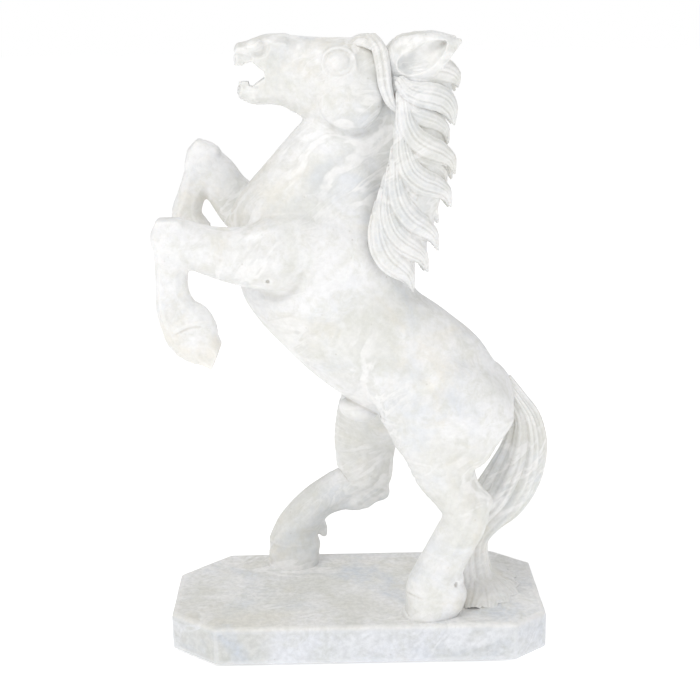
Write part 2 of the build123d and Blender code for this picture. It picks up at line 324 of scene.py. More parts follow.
    def stand(self):
        """Cuts the stone off flat, a little below the top of the plinth that it is bedded in."""
        self.field = np.maximum(self.field, TOP - BEDDING - self.axes[2])


# ------ field to mesh

def surface(field, low, step):
    """Points and quads of a field's zero surface, with one point in each crossed cell."""
    inside = (field < 0).astype(np.int8)
    cells = tuple(n - 1 for n in field.shape)
    corners = np.array(list(np.ndindex(2, 2, 2)))
    count = sum(inside[tuple(slice(c, c + n) for c, n in zip(corner, cells))] for corner in corners)
    index = np.argwhere((count > 0) & (count < 8))
    values = [field[tuple((index + corner).T)] for corner in corners]
    total, hits = np.zeros((len(index), 3)), np.zeros((len(index), 1))
    for number, corner in enumerate(corners):
        for axis in np.flatnonzero(corner == 0):
            first, second = values[number], values[number + (4 >> axis)]
            crossed = ((first < 0) != (second < 0))[:, None]
            t = first[:, None] / np.where(crossed, (first - second)[:, None], 1)
            total += crossed * (corner + t * np.eye(3)[axis])
            hits += crossed
    points = np.array(low) + (index + total / hits) * step
    keys = np.ravel_multi_index(index.T, cells)
    quads = []
    for axis in range(3):
        u, v = (axis + 1) % 3, (axis + 2) % 3
        change = np.diff(inside, axis=axis)
        edge = np.argwhere(change)
        across = edge[:, [u, v]]
        edge = edge[((across > 0) & (across < (cells[u], cells[v]))).all(axis=1)]
        ring = []
        for du, dv in ((1, 1), (0, 1), (0, 0), (1, 0)):
            cell = edge.copy()
            cell[:, u] -= du
            cell[:, v] -= dv
            ring.append(np.searchsorted(keys, np.ravel_multi_index(cell.T, cells)))
        ring = np.stack(ring, axis=1)
        leaving = change[tuple(edge.T)] < 0
        quads.append(np.where(leaving[:, None], ring, ring[:, ::-1]))
    return points, np.concatenate(quads)


def summed(rows, at, count):
    """Sum of the rows that belong to each point; at holds the point of each row."""
    return np.stack([np.bincount(at, column, count) for column in rows.T], axis=1)


def neighbour_mean(values, quads):
    """Mean of each point's neighbours along the quads' edges."""
    at = np.concatenate((quads, quads)).ravel()
    other = np.concatenate((np.roll(quads, 1, axis=1), np.roll(quads, -1, axis=1))).ravel()
    number = np.bincount(at, minlength=len(values))
    return summed(values[other], at, len(values)) / np.maximum(number, 1)[:, None]


def hollowness(points, quads, rounds):
    """How hollow the surface is at each point, from -1 on a ridge to 1 in a crease."""
    a, b, c, d = (points[quads[:, n]] for n in range(4))
    facing = np.repeat(np.cross(c - a, d - b), 4, axis=0)
    normals = summed(facing, quads.ravel(), len(points))
    normals /= np.linalg.norm(normals, axis=1, keepdims=True) + 1e-9
    eased = points
    for _ in range(rounds):
        eased = neighbour_mean(eased, quads)
    return np.clip(((eased - points) * normals).sum(axis=1), -1, 1)


def placed(name, data):
    """A new object in the scene."""
    obj = bpy.data.objects.new(name, data)
    scene.collection.objects.link(obj)
    return obj


def mesh_object(name, points, faces, hollow):
    """A smooth-shaded object from points in mm; a face of many sides is a joint's flat."""
    mesh = bpy.data.meshes.new(name)
    mesh.from_pydata((np.asarray(points) * MM).tolist(), [], faces)
    mesh.update()
    mesh.shade_smooth()
    for polygon in mesh.polygons:
        if polygon.loop_total > MOST_SIDES:
            polygon.use_smooth = False
            for loop in polygon.loop_indices:
                mesh.edges[mesh.loops[loop].edge_index].use_edge_sharp = True
    attribute = mesh.attributes.new("hollow", "FLOAT", "POINT")
    attribute.data.foreach_set("value", hollow.astype(np.float32))
    return placed(name, mesh)


def taken_off(stone, rounds=2):
    """The stone's surface as points, quads and hollowness, eased without losing volume."""
    points, quads = surface(stone.field, [axis[0] for axis in stone.axes], stone.step)
    for pull in (0.5, -0.52) * rounds:
        points = points + pull * (neighbour_mean(points, quads) - points)
    return points, quads, hollowness(points, quads, 4)


# ------ cutting into stones

def bmesh_of(points, quads, hollow):
    """A mesh that can be cut, and the layer that holds its hollowness."""
    bm = bmesh.new()
    layer = bm.verts.layers.float.new("hollow")
    verts = [bm.verts.new(p) for p in points.tolist()]
    for v, value in zip(verts, hollow.tolist()):
        v[layer] = value
    for q in quads.tolist():
        bm.faces.new([verts[n] for n in q])
    bm.verts.index_update()
    return bm, layer


def cut_through(bm, faces, joint):
    """Cuts the given faces at a flat joint and closes both sides."""
    point, normal, reach = Vector(joint[0]), Vector(joint[1]).normalized(), joint[2]
    near = [f for f in faces if f.is_valid and (f.calc_center_median() - point).length < reach]
    around = {part for f in near for part in (f, *f.edges, *f.verts)}
    made = bmesh.ops.bisect_plane(bm, geom=list(around), dist=1e-5, plane_co=point, plane_no=normal)
    edges = [g for g in made["geom_cut"] if isinstance(g, bmesh.types.BMEdge)]
    bmesh.ops.split_edges(bm, edges=edges)
    bmesh.ops.holes_fill(bm, edges=[e for e in bm.edges if e.is_boundary], sides=0)
    flats = [f for f in bm.faces if len(f.verts) > MOST_SIDES]
    bmesh.ops.recalc_face_normals(bm, faces=flats)


def islands(bm):
    """The connected bodies of a mesh, largest first, as lists of faces."""
    left, groups = set(bm.faces), []
    while left:
        group = [left.pop()]
        for face in group:
            for edge in face.edges:
                found = left.intersection(edge.link_faces)
                left -= found
                group.extend(found)
        groups.append(group)
    return sorted(groups, key=len, reverse=True)


def object_of(name, group, layer):
    """An object made of some of a mesh's faces."""
    verts = list({v for f in group for v in f.verts})
    number = {v: n for n, v in enumerate(verts)}
    faces = [[number[v] for v in f.verts] for f in group]
    hollow = np.array([v[layer] for v in verts])
    return mesh_object(name, [tuple(v.co) for v in verts], faces, hollow)


# ------ the horse

BARREL = [
    (-138, 505, -70, 575, 0, 50), (-134, 462, -20, 560, 0, 60), (-113, 420, 20, 522, 0, 67),
    (-83, 380, 50, 480, 0, 70), (-50, 350, 78, 446, 0, 69), (-22, 328, 98, 435, 0, 68),
    (25, 302, 135, 410, 0, 66), (70, 285, 168, 381, 0, 64), (110, 275, 184, 354, 0, 56),
]
NECK = [
    (-137, 530, 66, 452, 0, 56), (-131, 561, 74, 498, 0, 56), (-114, 590, 82, 548, 0, 52),
    (-85, 619, 88, 598, 0, 46), (-60, 634, 92, 642, 0, 36), (-38, 648, 90, 688, 0, 29),
    (-8, 672, 78, 726, 0, 24),
]
SKULL = [
    (62, 740, 44, 694, 0, 20), (35, 759, 26, 665, 0, 29), (4, 761, 2, 656, 0, 32),
    (-27, 763, -28, 658, 0, 33), (-54, 765, -52, 670, 0, 29), (-77, 766, -75, 682, 0, 24),
    (-97, 765, -98, 688, 0, 21),
]
UPPER_MUZZLE = [
    (-84, 767, -90, 712, 0, 22), (-104, 765, -106, 723, 0, 21), (-120, 760, -121, 731, 0, 19),
    (-134, 757, -134, 737, 0, 15),
]
LOWER_JAW = [
    (-78, 722, -82, 683, 0, 20), (-102, 716, -103, 684, 0, 17), (-118, 713, -116, 684, 0, 15),
    (-134, 712, -127, 691, 0, 12),
]
NEAR_ARM = [
    (-20, 462, 0, 536, -40, 22), (-62, 468, -42, 556, -49, 25), (-98, 472, -84, 556, -54, 27),
    (-128, 473, -120, 548, -56, 27), (-154, 481, -150, 547, -58, 25), (-180, 492, -180, 550, -59, 23),
    (-204, 504, -208, 557, -60, 22), (-222, 518, -230, 556, -60, 20),
]
NEAR_CANNON = [
    (-236, 545, -200, 532, -60, 19), (-238, 520, -198, 510, -60, 20), (-238, 492, -199, 488, -60, 18),
    (-239, 468, -198, 468, -60, 18), (-239, 442, -188, 450, -60, 21), (-234, 420, -172, 438, -60, 21),
    (-228, 408, -165, 424, -60, 21),
]
NEAR_FORE_HOOF = [
    (-225, 407, -164, 418, -60, 22), (-212, 396, -160, 410, -60, 24), (-195, 385, -160, 405, -60, 27),
    (-178, 375, -161, 398, -60, 27),
]
FAR_ARM = [
    (-34, 462, -6, 540, 40, 22), (-84, 476, -54, 556, 49, 25), (-124, 496, -98, 572, 54, 27),
    (-150, 520, -124, 580, 58, 26), (-168, 547, -146, 597, 60, 23), (-181, 574, -161, 618, 60, 21),
    (-190, 598, -178, 632, 60, 19),
]
FAR_CANNON = [
    (-206, 621, -172, 616, 60, 18), (-211, 596, -176, 584, 60, 19), (-220, 570, -186, 562, 60, 17),
    (-229, 543, -190, 543, 60, 18), (-227, 518, -182, 529, 60, 20), (-213, 500, -176, 520, 60, 21),
    (-200, 490, -168, 511, 60, 21),
]
FAR_FORE_HOOF = [
    (-202, 493, -168, 513, 60, 23), (-187, 482, -160, 504, 60, 25), (-170, 473, -153, 496, 60, 26),
]
NEAR_HIND = [
    (32, 294, 190, 304, -47, 37), (50, 258, 171, 270, -54, 34), (73, 224, 150, 242, -60, 28),
    (94, 201, 153, 218, -65, 25), (104, 187, 163, 200, -68, 23), (104, 172, 161, 176, -70, 21),
    (93, 148, 149, 154, -73, 20), (79, 122, 136, 128, -75, 20), (67, 101, 128, 102, -77, 22),
    (61, 83, 128, 84, -78, 23),
]
NEAR_HIND_HOOF = [
    (62, 94, 130, 88, -78, 23), (59, 80, 136, 78, -78, 25), (56, 67, 128, 66, -78, 26),
    (54, TOP, 114, TOP, -78, 27), (53, TOP - 8, 102, TOP - 8, -78, 26),
]
FAR_HIND = [
    (-16, 296, 112, 300, 47, 36), (-27, 266, 78, 268, 56, 32), (-28, 240, 58, 240, 64, 28),
    (-26, 214, 52, 212, 69, 25), (-25, 192, 48, 178, 72, 23), (-31, 181, 37, 157, 75, 21),
    (-50, 170, 3, 149, 77, 20), (-75, 152, -29, 134, 79, 20), (-96, 130, -45, 112, 81, 21),
    (-111, 106, -52, 95, 83, 22), (-117, 88, -52, 82, 84, 23),
]
FAR_HIND_HOOF = [
    (-117, 88, -53, 82, 84, 24), (-119, 70, -50, 66, 84, 27), (-121, TOP, -55, TOP, 84, 28),
    (-122, TOP - 8, -62, TOP - 8, 84, 27),
]
FAR_ERGOT = [
    (-64, 104, -40, 113, 84, 10), (-54, 98, -38, 103, 84, 7), (-46, 91, -39, 94, 84, 3),
]


def carve_trunk(s):
    """Barrel, chest, neck, haunches and the muscles over them."""
    s.limb(BARREL, 10, caps=(24, 54))
    s.ball((122, 26, 314), (64, 40, 44), 18, tilt=-14)
    s.ball((-76, 0, 546), (62, 56, 62), 14)
    s.limb(NECK, 22, caps=(10, 10))
    for arm in (NEAR_ARM, FAR_ARM):
        s.limb(arm, 10, caps=(12, 8))
    s.ball((112, -38, 316), (84, 40, 50), 18, tilt=-14)
    s.ball((64, 42, 312), (80, 38, 48), 18, tilt=-14)
    for leg in (NEAR_HIND, FAR_HIND):
        s.limb(leg, 16, caps=(24, 8))
    s.ball((3, -8, 302), (25, 18, 15), 4, tilt=-18)
    for side, shoulder in ((-1, 526), (1, 540)):
        for muscle in (
            ((-84, shoulder), (40, 22), 4, -14),
            ((-30, 526), (42, 24), 3.5, -30),
            ((20, 425), (62, 34), 2.5, -42),
            ((64, 372), (46, 20), -4, -48),
            ((112, 318), (48, 34), 4, -20),
            ((-62, 588), (44, 28), 2.5, 45),
            ((30, 622), (22, 62), -11, 4),
        ):
            s.muscle(side, *muscle)
        s.crease(side, [(-12, 482), (-36, 492), (-58, 506), (-78, 520)], 9, -2.2)
        s.crease(side, [(28, 302), (14, 318), (6, 338), (8, 356)], 8, -2.6)
        s.crease(side, [(34, 306), (54, 322), (78, 334), (104, 350), (128, 374)], 9, 2.6)
    s.crease(-1, [(-34, 552), (-61, 562), (-88, 562), (-112, 556), (-130, 546)], 7, -2.4)
    s.crease(-1, [(-128, 470), (-112, 463), (-94, 461), (-78, 468), (-66, 482), (-62, 498)], 5.5, -5.5)
    s.muscle(-1, (-98, 477), (15, 12), 3.5)
    s.crease(1, [(-140, 508), (-122, 486), (-104, 478), (-86, 482), (-72, 498)], 6, -4)
    s.pit((-104, 484), (2.4, 3, 2.4))
    s.line([(-134, 0, 470), (-142, 0, 510), (-134, 0, 552)], 9, -3)
    s.line([(110, 0, 430), (150, 0, 400), (184, 0, 360)], 9, -2)
    s.line([(-120, 0, 580), (-88, 0, 612), (-58, 0, 634), (-36, 0, 648)], 9, 3)


def flat_sides(y, half_width):
    """Planes that cut both sides of a leg flat."""
    return [((0, y + side * half_width, 0), (0, side, 0)) for side in SIDES]


def knee(s, x, z, y, tilt):
    """Bones at the front of a knee."""
    s.block((x, y, z), (16, 16, 19), 5, 6, tilt)
    for side in SIDES:
        s.swell((x + 6, y + side * 20, z), (12, 8, 14), 1.6)


def carve_forelegs(s):
    """Cannons, knees, fetlocks and hooves of the raised forelegs."""
    for cannon, y, half_width in ((NEAR_CANNON, -60, 17), (FAR_CANNON, 60, 16)):
        s.limb(cannon, 8, caps=(10, 6), flats=flat_sides(y, half_width))
    knee(s, -219, 539, -60, 0)
    knee(s, -187, 614, 60, -25)
    s.ball((-186, 60, 614), (19, 18, 20), 6)
    s.crease(-1, [(-208, 518), (-208, 490), (-206, 460)], 5, -1.6)
    s.crease(-1, [(-230, 544), (-231, 500), (-231, 450), (-222, 424)], 3, 2)
    s.muscle(-1, (-200, 440), (18, 14), 2.5)
    s.crease(1, [(-194, 598), (-203, 570), (-206, 546)], 5, -1.6)
    s.muscle(1, (-196, 524), (18, 14), 2.5)
    hoof(s, NEAR_FORE_HOOF, (-163, -60, 402), (0.92, 0, -0.39))
    hoof(s, FAR_FORE_HOOF, (-156, 60, 492), (0.86, 0, -0.51))


def hoof(s, sections, sole, normal):
    """A hoof under a raised coronet line; its sole and sides are cut flat."""
    y, half_width = sections[-1][4:]
    s.limb(sections, 3, caps=(8, 12), flats=[(sole, normal), *flat_sides(y, half_width - 4)])
    x1, z1, x2, z2 = sections[0][:4]
    for lift, height in ((11, 2.4), (6.5, -1.0)):
        rise = [(x1 + (x2 - x1) * t, z1 + (z2 - z1) * t + lift + 44 * t * (1 - t))
                for t in (0.1, 0.28, 0.5, 0.72, 0.9)]
        outer = s.drape(-1 if y < 0 else 1, rise)
        inner = [(x, 2 * y - across, z) for x, across, z in outer]
        for path in (outer, inner):
            s.line(path, 2.2, height, ends=0.1)


def carve_hind_legs(s):
    """Hocks, fetlocks, ergots and hooves of the legs that stand on the plinth."""
    for side in SIDES:
        s.crease(side, [(142, 246), (146, 222), (146, 200), (138, 172), (124, 140), (112, 118)], 6, -2.2)
        s.crease(side, [(40, 230), (38, 204), (26, 176), (-2, 156), (-36, 134), (-56, 118)], 6, -2.2)
        s.crease(side, [(62, 286), (84, 262), (104, 236), (118, 214)], 9, 1.8)
        for place, size in (((128, 197), (15, 15)), ((14, 176), (15, 13)), ((92, 110), (18, 14)),
                            ((-82, 114), (18, 14))):
            s.muscle(side, place, size, 2.5)
    for hock in ((158, -67, 199), (36, 73, 158)):
        s.ball(hock, (10, 12, 10), 8)
    for sections in (NEAR_HIND_HOOF, FAR_HIND_HOOF):
        s.limb(sections, 7, caps=(3, 3))
    s.ball((123, -80, 99), (9, 12, 9), 3)
    s.pit((121, 98), (3.5, 2, 3.5))
    s.limb(FAR_ERGOT, 2, caps=(4, 2))
    s.ball((-62, 84, 80), (13, 18, 12), 4)
    s.stand()


def carve_head(s):
    """Skull with cheeks, eyes, nostrils and an open mouth with teeth."""
    s.limb(SKULL, 10, caps=(10, 14))
    s.limb(UPPER_MUZZLE, 8, caps=(14, 6))
    s.limb(LOWER_JAW, 6, caps=(10, 5))
    for side in SIDES:
        cheek(s, side)
        eye(s, side)
        nostril(s, side)
        s.line([(-96, side * 19, 757), (-63, side * 23, 755), (-32, side * 29, 750)], 4, 2)
        s.line([(-98, side * 21, 748), (-63, side * 26, 744), (-34, side * 31, 738)], 4.5, -2.4)
        s.line([(-92, side * 22, 733), (-64, side * 27, 730), (-40, side * 31, 720)], 5, 1.6)
        s.line([(-106, side * 19, 721), (-97, side * 22, 717), (-90, side * 23, 709)], 4, -1.8)
        s.crease(side, [(-138, 745), (-132, 742), (-125, 740), (-116, 741)], 2.8, -3.2)
        s.crease(side, [(-131, 706), (-122, 704), (-110, 706)], 2.6, -1.8)
    s.wedge([(-114, 721), (-119, 730), (-160, 731), (-160, 714), (-119, 706.5)], 45, 1.5)
    s.wedge([(-104, 716), (-104, 723), (-119, 735), (-130, 731), (-130, 711), (-119, 706)], 45, 3)
    s.ball((-148, 0, 744), (11, 30, 4.5), 2, cut=True)
    teeth(s, -136, 737, 11.0, 6.5)
    teeth(s, -131, 708.5, 9.5, 3)
    s.swell((-40, 0, 768), (40, 12, 8), -1.5)


def cheek(s, side):
    """Round jowl with a crease under its rim."""
    x, z, radius = -3, 691, 41
    s.ball((x, side * 18, z), (44, 27, 42), 4)
    turns = [math.radians(turn) for turn in range(165, 366, 20)]
    rim = [(x + radius * math.cos(t), z + radius * math.sin(t)) for t in turns]
    s.crease(side, rim, 4.5, -5.5, ends=0.25)


def eye(s, side):
    """Large domed eye in a raised ring of lids."""
    x, z = -16, 734
    s.ball((x, side * 16, z + 1), (25, 16, 22), 8)
    for rx, rz, y, width, height in ((19.5, 17, 32, 3.6, 1.9), (16.4, 14.6, 33, 1.8, -2.0)):
        lids = [(x + rx * math.cos(t), side * (y - 3 * math.sin(t)), z + rz * math.sin(t))
                for t in np.linspace(0, math.tau, 25)]
        s.line(lids, width, height, ends=0)
        if height > 0:
            s.line(lids[2:13], 3.0, 1.6, ends=0.25)
            s.ball((x, side * 26, z), (14.8, 11, 13), 1.0)
    s.line([(6, side * 33, 730), (14, side * 32, 727), (24, side * 30, 729)], 3.5, -1.2)


def nostril(s, side):
    """Flared nostril: a raised wing with a deep curved slit behind it."""
    s.ball((-114, side * 17, 753), (11, 8, 8.5), 2.5)
    s.crease(side, [(-119, 744), (-110, 743), (-103, 746), (-100, 753), (-104, 760)], 2.8, -5)


def teeth(s, x, z, half_width, half_height):
    """A row of incisors on a curve."""
    number = 6
    for n in range(number):
        share = (n + 0.5) / number * 2 - 1
        place = (x + 5 * share * share, share * half_width, z)
        s.block(place, (4.5, half_width / number * 0.96, half_height), 1.4, 0.3)


def carve_ear(s, side):
    """Ear laid back along the crest, with a deep hollow."""
    outline = [(46, side * 22, 728), (60, side * 28, 735), (79, side * 33, 739), (99, side * 36, 748),
               (124, side * 36, 757)]
    s.lock(outline, (18, 28, 27, 18, 3.5), 11, (-0.1, side, 0.1), strands=0, depth=0, blend=3)
    hollow = [(62, side * 44, 731), (75, side * 49, 737), (90, side * 50, 746), (106, side * 48, 755)]
    path = respaced(hollow, hollow, 3.0)
    for share, place in zip(np.linspace(0.25, 0.93, len(path)), path):
        size = 17 * math.sin(math.pi * share)
        s.ball(place, (size, 15, size), 1.0, cut=True)


# ------ the hair

MANE_BODY = [
    (36, 744, 96, 728, 0, 22), (34, 712, 106, 698, 0, 32), (38, 680, 109, 660, 0, 38),
    (44, 638, 110, 610, 0, 44), (46, 594, 104, 564, 0, 50), (35, 562, 92, 524, 0, 54),
    (32, 530, 78, 494, 0, 57), (42, 502, 64, 480, 0, 55),
]
# Long locks on one side, from the root under the ear to the point: x, depth in y, z
LOCKS = [
    [(70, 24, 722), (82, 27, 723), (93, 26, 724), (104, 24, 723),
     (113, 21, 720), (120, 18, 715), (124, 16, 705)],
    [(56, 34, 712), (64, 38, 703), (76, 38, 698), (92, 34, 695),
     (106, 28, 689), (115, 22, 678), (120, 17, 661)],
    [(58, 38, 686), (61, 42, 664), (70, 42, 647), (85, 38, 636),
     (102, 30, 628), (115, 23, 618), (121, 17, 602)],
    [(55, 42, 652), (58, 46, 628), (66, 47, 608), (80, 43, 596),
     (96, 34, 589), (109, 25, 580), (117, 18, 563)],
    [(47, 47, 618), (47, 50, 592), (54, 51, 568), (67, 47, 551),
     (82, 39, 540), (94, 29, 528), (101, 22, 510)],
    [(36, 51, 586), (35, 54, 563), (41, 56, 542), (53, 52, 526),
     (68, 44, 515), (81, 34, 503), (88, 27, 485)],
    [(27, 54, 560), (27, 57, 539), (32, 58, 520), (42, 56, 504),
     (54, 49, 493), (64, 42, 481), (70, 36, 463)],
]
LOCK_HALVES = (8, 12, 15, 16, 14.5, 9.5, 2.2)


def carve_mane(s):
    """Mane on both sides of the crest: long S-shaped locks over shorter ones."""
    s.limb(MANE_BODY, 4, caps=(8, 10))
    for side in SIDES:
        s.ball((52, side * 20, 704), (14, 15, 20), 4)
        for n, pair in enumerate(zip(LOCKS[:-1], LOCKS[1:])):
            middle = np.mean(pair, axis=0)
            path = [(x - 1.3 * k, side * y, z + k) for k, (x, y, z) in enumerate(middle)]
            s.lock(path, (8, 11, 13, 13, 11, 7, 2.5), 8, (0.25, side, 0), strands=4 + n % 2, depth=1.3)
        for n, lock in enumerate(LOCKS):
            shift = 0 if side < 0 else -8 + 5 * math.sin(2.1 * n)
            path = [(x, side * (y + 5), z + shift * k / 6) for k, (x, y, z) in enumerate(lock)]
            s.lock(path, LOCK_HALVES, 9, (0.25, side, 0), strands=5 + n % 2, depth=1.7)
    for n in range(9):
        z = 730 - 28 * n
        x = 102 - 0.0022 * (z - 650) ** 2
        lean = 7 * math.sin(2.4 * n)
        path = [(x - 8, 0, z + 20), (x + 2, lean / 2, z), (x + 8, lean, z - 24)]
        s.lock(path, (9, 12, 3), 7, (1, 0, 0.4), strands=4, depth=1.4)


def carve_forelock(s):
    """Slab of hair on the poll and the pair of strands that fall behind each cheek."""
    for side in SIDES:
        s.lock([(2, side * 8, 757), (16, side * 14, 758), (34, side * 20, 749)], (9, 13, 10), 6,
               (0, side * 0.5, 1), strands=4, depth=1.0, blend=1)
        for shift in (-3.2, 3.6):
            path = [(22 + shift, side * 14, 761), (31 + shift, side * 26, 749),
                    (35 + shift, side * 33, 730), (38 + shift, side * 36, 706),
                    (44 + 0.7 * shift, side * 37, 688), (57, side * 38, 672)]
            s.lock(path, (5, 6, 5.5, 5, 4, 1.5), 6, (0.1, side, 0.1), strands=2, depth=1.0)


TAIL = [
    (197, 343, 178, 320, 0, 11), (214, 321, 192, 300, 0, 16), (234, 294, 196, 280, 0, 21),
    (244, 266, 190, 258, 0, 25), (246, 236, 181, 238, 1, 28), (240, 204, 168, 214, 3, 29),
    (222, 168, 152, 188, 5, 29), (192, 138, 134, 160, 7, 28), (174, 114, 122, 126, 8, 28),
    (174, 96, 116, 98, 9, 31), (178, 76, 112, 76, 9, 36), (184, TOP + 4, 110, TOP + 4, 10, 40),
]
# The tail's ends on the plinth: their turns in degrees, and the outward run, sway and height of one
TAIL_FAN = range(-88, 96, 22)
TAIL_END = ((0, 0, 46), (10, 2, 26), (22, 4, 14), (36, 2, 7), (50, -3, 4), (62, -9, 0))


def carve_tail(s):
    """Tail in twisting strands, whose ends spread over the plinth in low relief."""
    s.limb(TAIL, 2, caps=(6, 4), grooves=((7, 3.2, 5.0, 0.5), (19, 1.6, 9.0, 0.3)))
    s.ball((158, 8, TOP), (52, 68, 6), 8)
    for turn in TAIL_FAN:
        cos, sin = math.cos(math.radians(turn)), math.sin(math.radians(turn))
        path = []
        for run, sway, rise in TAIL_END:
            path.append((150 + run * cos - sway * sin, 8 + 1.25 * run * sin + sway * cos, TOP + rise))
        face = (0.3 * cos, 0.3 * sin, 1)
        s.lock(path, (9, 13, 15, 16, 15, 9), 7, face, strands=4, depth=1.5, blend=1.6)
    s.stand()


# ------ the plinth

# How much each corner is clipped, along x and y: back left, front left, front right, back right
CLIPS = ((64, 62), (58, 48), (42, 34), (48, 42))
PLINTH_ROUNDING = 5.0
DRESSING = 0.5             # height of the slow waves that hand dressing leaves
BEDDING = 2.0              # how far the feet go into the plinth, so that no gap shows


def plinth_outline():
    """Corners of the plinth's plan, anticlockwise from above."""
    (x0, y0), (x1, y1) = PLINTH_LOW[:2], PLINTH_HIGH[:2]
    (bx, by), (fx, fy), (gx, gy), (hx, hy) = CLIPS
    return [(x0 + bx, y1), (x0, y1 - by), (x0, y0 + fy), (x0 + fx, y0),
            (x1 - gx, y0), (x1, y0 + gy), (x1, y1 - hy), (x1 - hx, y1)]


def carve_plinth(s):
    """Slab with clipped corners, eased edges and a hand-dressed surface."""
    x, y, z = np.ix_(*s.axes)
    low, high = PLINTH_LOW[2], PLINTH_HIGH[2]
    sides = past_outline(plinth_outline(), x, y)
    shape = rounded((sides, np.maximum(low - z, z - high)), PLINTH_ROUNDING)
    wave = np.sin(x / 19 + 1.3 * np.sin(y / 23)) * np.sin(y / 17 + 1.1 * np.sin(z / 13 + x / 41))
    dressed = DRESSING * (1 + wave) / 2
    s.field = (shape + dressed * (z > low + 2)).astype(np.float32)


# ------ building the pieces

def stone_for(margin, step, *nodes):
    """An empty block round some CAD nodes."""
    corners = np.array([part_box(node) for node in nodes]) / MM
    return Stone(corners[:, 0].min(axis=0) - margin, corners[:, 1].max(axis=0) + margin, step)


def horse_pieces():
    """Trunk, neck and legs, carved as one and cut apart at the joints."""
    # A place near each piece's middle, or a little past its joint, to know the piece by
    seeds = {name: Vector(point) + Vector(normal) * 12 for name, (point, normal, _) in LIMB_JOINTS.items()}
    seeds.update(trunk=Vector((0, 0, 400)), neck=Vector((0, 0, 600)))
    stone = stone_for(8, BODY_STEP, *seeds)
    for carve in (carve_trunk, carve_forelegs, carve_hind_legs, carve_head):
        carve(stone)
    bm, layer = bmesh_of(*taken_off(stone))
    for joint in LIMB_JOINTS.values():
        cut_through(bm, bm.faces[:], joint)
    for joint in (HEAD_JOINT, NECK_JOINT):
        cut_through(bm, islands(bm)[0], joint)
    groups = islands(bm)[:len(seeds) + 1]     # the head cut off here is left out
    pieces = []
    for name, seed in seeds.items():
        group = min(groups, key=lambda g: nearness(g, seed))
        groups.remove(group)
        piece = object_of(name + "_stone", group, layer)
        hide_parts(name)
        pieces.append(piece)
    bm.free()
    return pieces


def nearness(group, seed):
    """Distance from a seed to the middle of a body's box."""
    corners = np.array([f.calc_center_median() for f in group[::40]])
    return float(np.linalg.norm((corners.min(axis=0) + corners.max(axis=0)) / 2 - np.array(seed)))


def head_piece():
    """Head above its joint, carved on a finer grid."""
    stone = stone_for(8, HEAD_STEP, "head")
    carve_trunk(stone)
    carve_head(stone)
    for side in SIDES:
        carve_ear(stone, side)
    bm, layer = bmesh_of(*taken_off(stone))
    bmesh.ops.bisect_plane(bm, geom=bm.verts[:] + bm.edges[:] + bm.faces[:], dist=1e-5,
                           plane_co=Vector(HEAD_JOINT[0]), plane_no=Vector(HEAD_JOINT[1]).normalized(),
                           clear_inner=True)
    bmesh.ops.holes_fill(bm, edges=[e for e in bm.edges if e.is_boundary], sides=0)
    piece = object_of("head_stone", islands(bm)[0], layer)
    bm.free()
    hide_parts("head")
    return piece


def carved_piece(name, nodes, margin, step, carve):
    """One piece carved on its own block."""
    stone = stone_for(margin, step, *nodes)
    carve(stone)
    points, quads, hollow = taken_off(stone, 1)
    piece = mesh_object(name, points, quads.tolist(), hollow)
    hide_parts(nodes[0])
    return piece


# ------ materials

STREAK_SLOPE = math.radians(32)     # of the white streaks in the marble, from the horizontal


